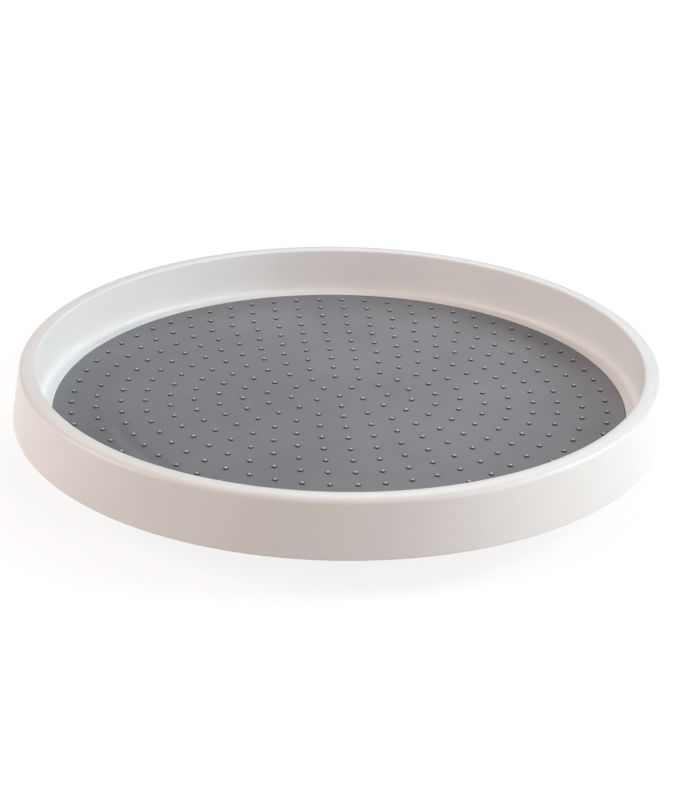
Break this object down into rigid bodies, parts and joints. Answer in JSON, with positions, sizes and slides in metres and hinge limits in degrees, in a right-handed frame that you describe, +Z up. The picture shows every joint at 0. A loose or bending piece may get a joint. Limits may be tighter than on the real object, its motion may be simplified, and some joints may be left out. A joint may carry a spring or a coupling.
{
  "type": "lazy susan turntable",
  "caption": "Round white plastic pantry turntable with a thick rolled rim and a grey non-slip pipped mat, turning freely on a ring of steel balls over a low standing base.",
  "frame": {"origin": "on the spin axis, in the plane of the feet's soles that it stands on", "axes": "+Z up along the spin axis; +X passes through the first ball and the first foot; the front of the view is -Y"},
  "size_m": [0.3048, 0.3048, 0.0428],
  "materials": {
    "white_plastic": "satin moulded polypropylene",
    "grey_mat": "matt thermoplastic elastomer with raised pips",
    "cage_plastic": "natural acetal, matt",
    "ball_steel": "polished bearing steel",
    "zinc_steel": "zinc plated",
    "foot_rubber": "matt rubber"
  },
  "bodies": {
    "base": {"base": "white_plastic", "foot_1": "foot_rubber", "foot_2": "foot_rubber", "foot_3": "foot_rubber", "foot_4": "foot_rubber", "foot_5": "foot_rubber", "foot_6": "foot_rubber"},
    "tray": {"tray": "white_plastic", "non_slip_mat": "grey_mat", "washer": "zinc_steel", "centre_screw": "zinc_steel"},
    "cage": {"ball_cage": "cage_plastic"},
    "ball_01": {"ball_01": "ball_steel"},
    "ball_02": {"ball_02": "ball_steel"},
    "ball_03": {"ball_03": "ball_steel"},
    "ball_04": {"ball_04": "ball_steel"},
    "ball_05": {"ball_05": "ball_steel"},
    "ball_06": {"ball_06": "ball_steel"},
    "ball_07": {"ball_07": "ball_steel"},
    "ball_08": {"ball_08": "ball_steel"},
    "ball_09": {"ball_09": "ball_steel"},
    "ball_10": {"ball_10": "ball_steel"},
    "ball_11": {"ball_11": "ball_steel"},
    "ball_12": {"ball_12": "ball_steel"},
    "ball_13": {"ball_13": "ball_steel"},
    "ball_14": {"ball_14": "ball_steel"},
    "ball_15": {"ball_15": "ball_steel"},
    "ball_16": {"ball_16": "ball_steel"}
  },
  "joints": [
    {"name": "tray_spin", "type": "hinge", "parent": "base", "child": "tray", "pos_m": [0, 0, 0.009], "axis": [0, 0, 1], "continuous": true},
    {"name": "cage_spin", "type": "hinge", "parent": "base", "child": "cage", "pos_m": [0, 0, 0.0093], "axis": [0, 0, 1], "continuous": true},
    {"name": "ball_roll_01", "type": "hinge", "parent": "cage", "child": "ball_01", "pos_m": [0.095, 0, 0.0093], "axis": [1, 0, 0], "continuous": true},
    {"name": "ball_roll_02", "type": "hinge", "parent": "cage", "child": "ball_02", "pos_m": [0.08777, 0.03635, 0.0093], "axis": [0.9239, 0.3827, 0], "continuous": true},
    {"name": "ball_roll_03", "type": "hinge", "parent": "cage", "child": "ball_03", "pos_m": [0.06718, 0.06718, 0.0093], "axis": [0.7071, 0.7071, 0], "continuous": true},
    {"name": "ball_roll_04", "type": "hinge", "parent": "cage", "child": "ball_04", "pos_m": [0.03635, 0.08777, 0.0093], "axis": [0.3827, 0.9239, 0], "continuous": true},
    {"name": "ball_roll_05", "type": "hinge", "parent": "cage", "child": "ball_05", "pos_m": [0, 0.095, 0.0093], "axis": [0, 1, 0], "continuous": true},
    {"name": "ball_roll_06", "type": "hinge", "parent": "cage", "child": "ball_06", "pos_m": [-0.03635, 0.08777, 0.0093], "axis": [-0.3827, 0.9239, 0], "continuous": true},
    {"name": "ball_roll_07", "type": "hinge", "parent": "cage", "child": "ball_07", "pos_m": [-0.06718, 0.06718, 0.0093], "axis": [-0.7071, 0.7071, 0], "continuous": true},
    {"name": "ball_roll_08", "type": "hinge", "parent": "cage", "child": "ball_08", "pos_m": [-0.08777, 0.03635, 0.0093], "axis": [-0.9239, 0.3827, 0], "continuous": true},
    {"name": "ball_roll_09", "type": "hinge", "parent": "cage", "child": "ball_09", "pos_m": [-0.095, 0, 0.0093], "axis": [-1, 0, 0], "continuous": true},
    {"name": "ball_roll_10", "type": "hinge", "parent": "cage", "child": "ball_10", "pos_m": [-0.08777, -0.03635, 0.0093], "axis": [-0.9239, -0.3827, 0], "continuous": true},
    {"name": "ball_roll_11", "type": "hinge", "parent": "cage", "child": "ball_11", "pos_m": [-0.06718, -0.06718, 0.0093], "axis": [-0.7071, -0.7071, 0], "continuous": true},
    {"name": "ball_roll_12", "type": "hinge", "parent": "cage", "child": "ball_12", "pos_m": [-0.03635, -0.08777, 0.0093], "axis": [-0.3827, -0.9239, 0], "continuous": true},
    {"name": "ball_roll_13", "type": "hinge", "parent": "cage", "child": "ball_13", "pos_m": [0, -0.095, 0.0093], "axis": [0, -1, 0], "continuous": true},
    {"name": "ball_roll_14", "type": "hinge", "parent": "cage", "child": "ball_14", "pos_m": [0.03635, -0.08777, 0.0093], "axis": [0.3827, -0.9239, 0], "continuous": true},
    {"name": "ball_roll_15", "type": "hinge", "parent": "cage", "child": "ball_15", "pos_m": [0.06718, -0.06718, 0.0093], "axis": [0.7071, -0.7071, 0], "continuous": true},
    {"name": "ball_roll_16", "type": "hinge", "parent": "cage", "child": "ball_16", "pos_m": [0.08777, -0.03635, 0.0093], "axis": [0.9239, -0.3827, 0], "continuous": true}
  ],
  "couplings": [
    {"joint": "cage_spin", "follows": "tray_spin", "ratio": 0.5},
    {"joint": "ball_roll_01", "follows": "tray_spin", "ratio": -15.833},
    {"joint": "ball_roll_02", "follows": "tray_spin", "ratio": -15.833},
    {"joint": "ball_roll_03", "follows": "tray_spin", "ratio": -15.833},
    {"joint": "ball_roll_04", "follows": "tray_spin", "ratio": -15.833},
    {"joint": "ball_roll_05", "follows": "tray_spin", "ratio": -15.833},
    {"joint": "ball_roll_06", "follows": "tray_spin", "ratio": -15.833},
    {"joint": "ball_roll_07", "follows": "tray_spin", "ratio": -15.833},
    {"joint": "ball_roll_08", "follows": "tray_spin", "ratio": -15.833},
    {"joint": "ball_roll_09", "follows": "tray_spin", "ratio": -15.833},
    {"joint": "ball_roll_10", "follows": "tray_spin", "ratio": -15.833},
    {"joint": "ball_roll_11", "follows": "tray_spin", "ratio": -15.833},
    {"joint": "ball_roll_12", "follows": "tray_spin", "ratio": -15.833},
    {"joint": "ball_roll_13", "follows": "tray_spin", "ratio": -15.833},
    {"joint": "ball_roll_14", "follows": "tray_spin", "ratio": -15.833},
    {"joint": "ball_roll_15", "follows": "tray_spin", "ratio": -15.833},
    {"joint": "ball_roll_16", "follows": "tray_spin", "ratio": -15.833}
  ]
}
